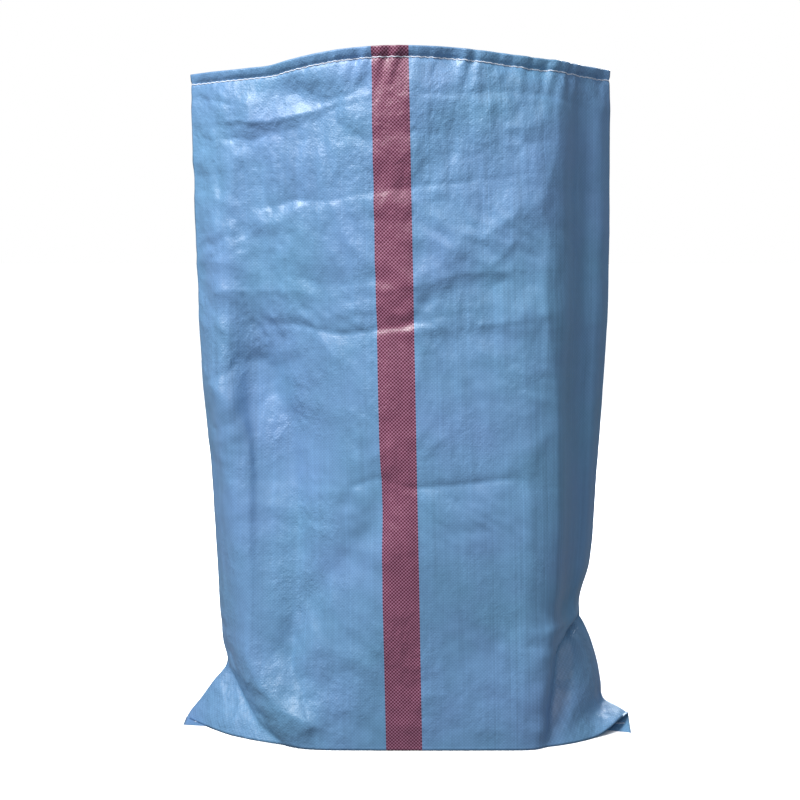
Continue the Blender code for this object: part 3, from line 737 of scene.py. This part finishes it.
def thread_mesh(name, path, radius, closed, finish, sides=6):
    """A round profile carried along a path, square to it. Open ends are closed by flat caps."""
    ahead = np.roll(path, -1, axis=0) - np.roll(path, 1, axis=0)
    if not closed:
        ahead[0] = path[1] - path[0]
        ahead[-1] = path[-1] - path[-2]
    ahead /= np.linalg.norm(ahead, axis=1, keepdims=True)
    side = np.cross(ahead, (0.0, 0.0, 1.0))
    side /= np.linalg.norm(side, axis=1, keepdims=True)
    other = np.cross(side, ahead)
    turn = np.arange(sides) * 2.0 * np.pi / sides
    ring = side[:, None] * np.cos(turn)[None, :, None] + other[:, None] * np.sin(turn)[None, :, None]
    points = (path[:, None] + radius * ring).reshape(-1, 3)
    count = len(path)
    i = np.arange(count if closed else count - 1)[:, None]
    n = (i + 1) % count
    j = np.arange(sides)[None, :]
    k = (j + 1) % sides
    quads = np.stack([i * sides + j, i * sides + k, n * sides + k, n * sides + j], axis=2).reshape(-1, 4)
    faces = quads.tolist()
    if not closed:
        faces += [list(range(sides - 1, -1, -1)), list(range((count - 1) * sides, count * sides))]
    return shaped(name, points.tolist(), faces, finish)


def feed(tree, node, inputs):
    """Gives sockets of a node their values or links: the first ones in order, or those that a table names."""
    for name, value in inputs.items() if isinstance(inputs, dict) else enumerate(inputs):
        if isinstance(value, bpy.types.NodeSocket):
            tree.links.new(value, node.inputs[name])
        else:
            node.inputs[name].default_value = value


def add(tree, kind, inputs=(), **settings):
    """Adds one shader node with its settings, values and links, and gives its outputs."""
    made = tree.nodes.new("ShaderNode" + kind)
    for name, value in settings.items():
        setattr(made, name, value)
    feed(tree, made, inputs)
    return made.outputs


def new_material(name):
    """A new material, its node tree, its shader and its object coordinates."""
    made = bpy.data.materials.new(name)
    made.use_nodes = True
    tree = made.node_tree
    return made, tree, tree.nodes["Principled BSDF"], add(tree, "TexCoord")["Object"]


def laminated_weave(sizes):
    """Laminated polypropylene tape weave: blown film slit to tapes, woven on a round loom and coated.

    It gives flat little squares, lengthwise streaks where tapes differ, and the satin gloss of film.
    """
    made, tree, shader, place = new_material("laminated_polypropylene_weave")
    pitch = 2 * sizes.width / sizes.tape_count
    cloth = add(tree, "UVMap", uv_map="cloth")["UV"]
    around, up, _ = add(tree, "SeparateXYZ", (cloth,))

    def ramp(value, name):
        """A ramp of the table: its slope times the value, plus its offset, held between 0 and 1."""
        return add(tree, "Math", (value, *RAMPS[name]), operation="MULTIPLY_ADD", use_clamp=True)[0]

    def shading(value, amount):
        """How far a noise lies above a half, times an amount."""
        above = add(tree, "Math", (value, 0.5), operation="SUBTRACT")[0]
        return add(tree, "Math", (above, amount), operation="MULTIPLY")[0]

    # Plain weave: the product of two sines is above zero where the warp is on top
    warp_turns = add(tree, "Math", (around, pitch), operation="DIVIDE")[0]
    weft_turns = add(tree, "Math", (up, pitch), operation="DIVIDE")[0]
    waves = []
    for turns in (warp_turns, weft_turns):
        angle = add(tree, "Math", (turns, np.pi), operation="MULTIPLY")[0]
        waves.append(add(tree, "Math", (angle,), operation="SINE")[0])
    product = add(tree, "Math", waves, operation="MULTIPLY")[0]
    warp_up = add(tree, "Math", (product, 4.0, 0.5), operation="MULTIPLY_ADD", use_clamp=True)[0]
    height = add(tree, "Math", (product,), operation="ABSOLUTE")[0]
    pillow = add(tree, "Math", (height, 0.5), operation="POWER")[0]

    # The stripe: whole warp tapes within half its width of its middle, on both panels
    lane = add(tree, "Math", (warp_turns,), operation="FLOOR")[0]
    middle = add(tree, "Math", (lane, 0.5), operation="ADD")[0]
    tape = add(tree, "Math", (middle, pitch), operation="MULTIPLY")[0]
    mirrored = add(tree, "Math", (sizes.width, tape), operation="SUBTRACT")[0]
    on_back = add(tree, "Math", (tape, sizes.width / 2), operation="GREATER_THAN")[0]
    on_front = add(tree, "Math", (1.0, on_back), operation="SUBTRACT")[0]
    back_place = add(tree, "Math", (on_back, mirrored), operation="MULTIPLY")[0]
    front_place = add(tree, "Math", (on_front, tape), operation="MULTIPLY")[0]
    panel = add(tree, "Math", (back_place, front_place), operation="ADD")[0]
    off = add(tree, "Math", (panel, sizes.stripe_offset), operation="SUBTRACT")[0]
    away = add(tree, "Math", (off,), operation="ABSOLUTE")[0]
    stripe = add(tree, "Math", (away, sizes.stripe_tapes * pitch / 2), operation="LESS_THAN")[0]

    # Each tape's own shade, which drifts over about 200 mm, and streaks about 14 mm wide and 170 mm long
    drift = add(tree, "Math", (up, 5.0), operation="MULTIPLY")[0]
    lanes = add(tree, "CombineXYZ", (lane, drift))[0]
    tape_noise = add(tree, "TexNoise", {"Vector": lanes, "Scale": 0.93, "Detail": 1.0})[0]
    wide = [add(tree, "Math", pair, operation="MULTIPLY")[0] for pair in ((around, 70.0), (up, 6.0))]
    wide_lanes = add(tree, "CombineXYZ", wide)[0]
    wide_noise = add(tree, "TexNoise", {"Vector": wide_lanes, "Scale": 1.0, "Detail": 3.0})[0]
    groups = add(tree, "TexNoise", {"Vector": wide_lanes, "Scale": 0.13, "Detail": 2.0})[0]
    right_half = ramp(around, "right half")
    grouped = add(tree, "Math", (ramp(groups, "tape groups"), right_half), operation="MULTIPLY")[0]
    tape_shade = add(tree, "Math", (grouped, GROUP_STREAKS, PLAIN_STREAKS), operation="MULTIPLY_ADD")[0]

    # Clouds of about 90 mm and grain of 7 mm over all of it, and painted shade in the lines between the
    # tapes, lighter on their crowns
    cloud = add(tree, "TexNoise", {"Vector": place, "Scale": 11.0, "Detail": 4.0, "Roughness": 0.6})[0]
    fine = add(tree, "TexNoise", {"Vector": place, "Scale": 140.0, "Detail": 3.0, "Roughness": 0.65})[0]
    # Painted shade: the cloth goes darker where the weave lies low between the tapes and lighter where it
    # rises, more so in the stripe
    raised = add(tree, "Math", (pillow, 0.6), operation="SUBTRACT")[0]
    gap_shade_strength = add(tree, "Math", (stripe, 0.10, 0.06), operation="MULTIPLY_ADD")[0]
    gap = add(tree, "Math", (raised, gap_shade_strength), operation="MULTIPLY")[0]
    level = shading(tape_noise, tape_shade)
    for part in (shading(wide_noise, WIDE_SHADE), shading(cloud, CLOUD_SHADE), shading(fine, FINE_SHADE),
                 gap, 1.0):
        level = add(tree, "Math", (level, part), operation="ADD")[0]

    # Colour: weft or warp by which is on top, tinted in patches of about 120 mm, or the stripe's pair
    haze = add(tree, "TexNoise", {"Vector": place, "Scale": 8.0, "Detail": 3.0})[0]
    pairs = ((warp_up, rgb(sizes.shade_colour), rgb(sizes.cloth_colour)),
             (warp_up, rgb(sizes.veil_colour), rgb(sizes.stripe_colour)),
             (ramp(haze, "haze"), (0.94, 1.02, 0.95, 1.0), (1.09, 0.98, 1.03, 1.0)))
    woven, red, tinted = (
        add(tree, "Mix", {0: share, 6: first, 7: second}, data_type="RGBA")[2]
        for share, first, second in pairs)
    blue = add(tree, "VectorMath", (woven, tinted), operation="MULTIPLY")[0]
    plain = add(tree, "Mix", {0: stripe, 6: blue, 7: red}, data_type="RGBA")[2]
    scaled = add(tree, "VectorMath", {0: plain, "Scale": level}, operation="SCALE")[0]

    # The wrinkled film: facets of about 10 mm with sharp edges, whose net is bent by noise of 18 mm
    crinkle = add(tree, "TexNoise", {"Vector": place, "Scale": 55.0, "Detail": 5.0, "Roughness": 0.65})
    drawn = add(tree, "VectorMath", (place, (1.0, 1.0, 0.6)), operation="MULTIPLY")[0]
    bend = (crinkle["Color"], (0.016, 0.016, 0.016), drawn)
    warped = add(tree, "VectorMath", bend, operation="MULTIPLY_ADD")[0]
    facets = add(tree, "TexVoronoi", {"Vector": warped, "Scale": 105.0})["Distance"]
    crumbled = add(tree, "Math", (facets, 0.35, crinkle[0]), operation="MULTIPLY_ADD")[0]

    # Where it wrinkles: in patches of about 80 mm, over the upper part, on the ears and under the hem
    patches = add(tree, "TexNoise", {"Vector": place, "Scale": 13.0, "Detail": 2.0})[0]
    across, _, high = add(tree, "SeparateXYZ", (place,))
    both_ears = (ramp(across, "left ear"), ramp(across, "right ear"))
    beside = add(tree, "Math", both_ears, operation="ADD")[0]
    ears = add(tree, "Math", (beside, ramp(high, "ear height")), operation="MULTIPLY")[0]
    calmer = add(tree, "Math", (right_half, -0.38, 0.95), operation="MULTIPLY_ADD")[0]
    patched = add(tree, "Math", (ramp(patches, "patches"), calmer), operation="MULTIPLY")[0]
    least = add(tree, "Math", (patched, 0.06), operation="ADD")[0]
    loose = add(tree, "Math", (least, ramp(high, "upper part")), operation="MAXIMUM")[0]
    loose = add(tree, "Math", (loose, ramp(across, "wrinkled side")), operation="MULTIPLY")[0]
    for other in (ears, ramp(high, "under hem")):
        loose = add(tree, "Math", (loose, other), operation="MAXIMUM")[0]
    crinkled = add(tree, "Math", (crumbled, loose), operation="MULTIPLY")[0]

    # Bump: ribs along the tapes, then the film, then the pillow of each crossing
    ribs = add(tree, "Bump", {"Strength": 0.3, "Distance": 0.0014, "Height": wide_noise})[0]
    film = add(tree, "Bump", {"Strength": 1.0, "Distance": 0.0028, "Height": crinkled, "Normal": ribs})[0]
    weave = add(tree, "Bump", {"Strength": 0.32, "Distance": 0.00025, "Height": pillow, "Normal": film})[0]

    satin = add(tree, "Math", (cloud, 0.22, 0.30), operation="MULTIPLY_ADD")[0]
    feed(tree, shader, {
        "Base Color": scaled, "Roughness": satin, "Normal": weave, "IOR": 1.49, "Coat Weight": 0.25,
        "Coat Roughness": 0.28})
    return made


def polyester_thread(sizes):
    """Spun polyester sewing thread: plied staple fibre, a soft white line whose slanting twist is painted
    shade.

    The twist, about 3 mm long and painted as darker bands of shade between the plies, and the fibres, about 1
    mm, are coarser than the real ones, so they show.
    """
    made, tree, shader, place = new_material("spun_polyester_thread")
    # Twist: slanting bands of painted shade between the plies, mixed from the thread's white and a darker
    # copy of it
    twist = add(tree, "TexWave", {"Vector": place, "Scale": 220.0, "Distortion": 1.5},
                bands_direction="DIAGONAL")["Fac"]
    fibre = add(tree, "TexNoise", {"Vector": place, "Scale": 900.0, "Detail": 2.0})[0]
    white = rgb(sizes.thread_colour)
    # The darker copy of the thread's colour is painted shade
    ply_groove_shade = tuple(0.72 * value for value in white[:3]) + (1.0,)
    colour = add(tree, "Mix", {0: twist, 6: ply_groove_shade, 7: white}, data_type="RGBA")[2]
    bump = add(tree, "Bump", {"Strength": 0.6, "Distance": 0.0002, "Height": fibre})[0]
    feed(tree, shader, {"Base Color": colour, "Normal": bump, "Roughness": 0.7, "Sheen Weight": 0.2})
    return made


def matt_paper(colour):
    """Matt studio paper, with a faint tooth of about 2.5 mm, coarser than the real one."""
    made, tree, shader, place = new_material("matt_studio_paper")
    tooth = add(tree, "TexNoise", {"Vector": place, "Scale": 400.0, "Detail": 2.0})[0]
    bump = add(tree, "Bump", {"Strength": 0.1, "Distance": 0.0002, "Height": tooth})[0]
    feed(tree, shader, {
        "Base Color": rgb(colour), "Normal": bump, "Roughness": 0.9, "Specular IOR Level": 0.1})
    return made


def needle_dip(phase):
    """Half of one less the cosine of the phase: 0 at every needle hole and 1 between them."""
    return 0.5 - 0.5 * np.cos(phase)


def stitch_path(sizes, rows, up):
    """The stitches round the mouth: on the cloth at the stitch line, dipping at every needle hole."""
    line = sizes.mouth_height - sizes.stitch_drop
    wall = up <= sizes.mouth_height + 1e-9
    order = np.argsort(up[wall])
    levels = up[wall][order]
    grid = rows[wall][order]
    i = int(np.searchsorted(levels, line))
    t = (line - levels[i - 1]) / (levels[i] - levels[i - 1])
    ring = grid[i - 1] + (grid[i] - grid[i - 1]) * t
    both = np.hstack([ring, surface_normals(grid)[i]])
    both = np.vstack([both, both[:1]])
    run = np.concatenate([[0.0], np.cumsum(np.linalg.norm(np.diff(both[:, :3], axis=0), axis=1))])
    stitches = int(round(run[-1] / sizes.stitch_length))
    count = stitches * HEM_STITCH_POINTS
    place = np.arange(count) * run[-1] / count
    path, away = np.hsplit(np.column_stack([np.interp(place, run, values) for values in both.T]), 2)
    away /= np.linalg.norm(away, axis=1, keepdims=True)
    phase = np.arange(count) * 2.0 * np.pi / HEM_STITCH_POINTS
    path += away * (sizes.thread_radius * (0.1 + 1.3 * needle_dip(phase)))[:, None]
    path[:, 2] += STITCH_SLANT * np.sin(phase)
    return path


def seam_path(sizes):
    """The stitches of the bottom fold: a straight row under the strip, dipping at every needle hole."""
    half = 0.5 * sizes.width - SEAM_MARGIN
    count = int(2 * half / sizes.stitch_length) * SEAM_STITCH_POINTS + 1
    x = np.linspace(-half, half, count)
    back, lift = seam_bend(x)
    dip = needle_dip(np.arange(count) * 2.0 * np.pi / SEAM_STITCH_POINTS)
    z = SEAM_HEIGHT - SEAM_DIP * dip + 0.5 * lift
    return np.column_stack([x, back - 0.5 * sizes.seam_fold, z])


class SackClothAdd(bpy.types.Operator):
    """Builds the woven cloth: the tube with its hem, creases, base and bottom fold"""
    bl_idname = "mesh.sack_cloth_add"
    bl_label = "Sack cloth"

    def execute(self, context):
        sizes = context.scene.sack_sizes
        rows, up, around = sheet_points(sizes)
        cloth = grid_mesh("sack_cloth", rows, up, around, 2 * sizes.width, laminated_weave(sizes))
        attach(cloth, BODY)
        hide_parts("sack_body")
        return {"FINISHED"}


class SackStitchesAdd(bpy.types.Operator):
    """Builds both rows of stitches: round the mouth and along the bottom fold"""
    bl_idname = "mesh.sack_stitches_add"
    bl_label = "Sack stitches"

    def execute(self, context):
        sizes = context.scene.sack_sizes
        rows, up, _ = sheet_points(sizes)
        thread = polyester_thread(sizes)
        path = stitch_path(sizes, rows, up)
        hem = thread_mesh("mouth_hem_stitches", path, sizes.thread_radius, True, thread)
        seam = thread_mesh("bottom_seam_stitches", seam_path(sizes), SEAM_RADIUS, False, thread)
        for piece, node in ((hem, "mouth_hem_thread"), (seam, "bottom_seam_thread")):
            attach(piece, BODY)
            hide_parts(node)
        return {"FINISHED"}


class SackStageAdd(bpy.types.Operator):
    """Builds the pale floor, the soft lights and the camera at the photograph's angle"""
    bl_idname = "scene.sack_stage_add"
    bl_label = "Sack stage"

    def execute(self, context):
        stage = context.scene.sack_stage
        half = stage.floor_size / 2
        corners = [(-half, -half, 0), (half, -half, 0), (half, half, 0), (-half, half, 0)]
        floor = shaped("floor", corners, [(0, 1, 2, 3)], matt_paper(stage.floor_colour))

        for name, kind, strength, spread, place, aim in LIGHTS:
            light = bpy.data.lights.new(name, kind)
            light.energy = getattr(stage, strength)
            setattr(light, "angle" if kind == "SUN" else "size", spread)
            lamp = placed(name, light)
            lamp.location = place
            lamp.rotation_mode = "QUATERNION"
            lamp.rotation_quaternion = (Vector(aim) - Vector(place)).to_track_quat("-Z", "Y")
        lit = bpy.data.collections.new("lit_by_floor_light")
        lit.objects.link(floor)
        bpy.data.objects["floor_light"].light_linking.receiver_collection = lit
        floor.visible_diffuse = False
        floor.visible_glossy = False

        world = bpy.data.worlds.new("studio")
        world.use_nodes = True
        tree = world.node_tree
        tree.nodes.clear()
        seen = add(tree, "LightPath")["Is Camera Ray"]
        room = add(tree, "Background", {"Color": ROOM_COLOUR, "Strength": stage.ambient})[0]
        wall = add(tree, "Background", {"Color": (1, 1, 1, 1), "Strength": 1.0})[0]
        mix = add(tree, "MixShader", (seen, room, wall))[0]
        add(tree, "OutputWorld", {"Surface": mix})
        context.scene.world = world

        camera = bpy.data.cameras.new("camera")
        camera.lens = stage.lens
        camera.sensor_width = 36.0
        view = placed("camera", camera)
        view.location = stage.camera_place
        view.rotation_euler = (np.radians(90.0 - stage.camera_pitch), 0.0, 0.0)
        context.scene.camera = view
        context.scene.view_settings.view_transform = "Standard"
        return {"FINISHED"}


class SackPanel(bpy.types.Panel):
    """Sizes, colours and buttons for the sack"""
    bl_idname = "VIEW3D_PT_woven_sack"
    bl_label = "Woven sack"
    bl_space_type = "VIEW_3D"
    bl_region_type = "UI"
    bl_category = "Sack"

    def draw(self, context):
        for group in (context.scene.sack_sizes, context.scene.sack_stage):
            for name in group.__annotations__:
                self.layout.prop(group, name)
        for operator in STEPS:
            self.layout.operator(operator.bl_idname)


STEPS = (SackStageAdd, SackClothAdd, SackStitchesAdd)
CLASSES = (SackSizes, StageSizes, *STEPS, SackPanel)


def register():
    for cls in CLASSES:
        bpy.utils.register_class(cls)
    bpy.types.Scene.sack_sizes = PointerProperty(type=SackSizes)
    bpy.types.Scene.sack_stage = PointerProperty(type=StageSizes)


def unregister():
    del bpy.types.Scene.sack_stage
    del bpy.types.Scene.sack_sizes
    for cls in reversed(CLASSES):
        bpy.utils.unregister_class(cls)


def main():
    register()
    bpy.ops.scene.sack_stage_add()
    bpy.ops.mesh.sack_cloth_add()
    bpy.ops.mesh.sack_stitches_add()


if __name__ == "__main__":
    main()
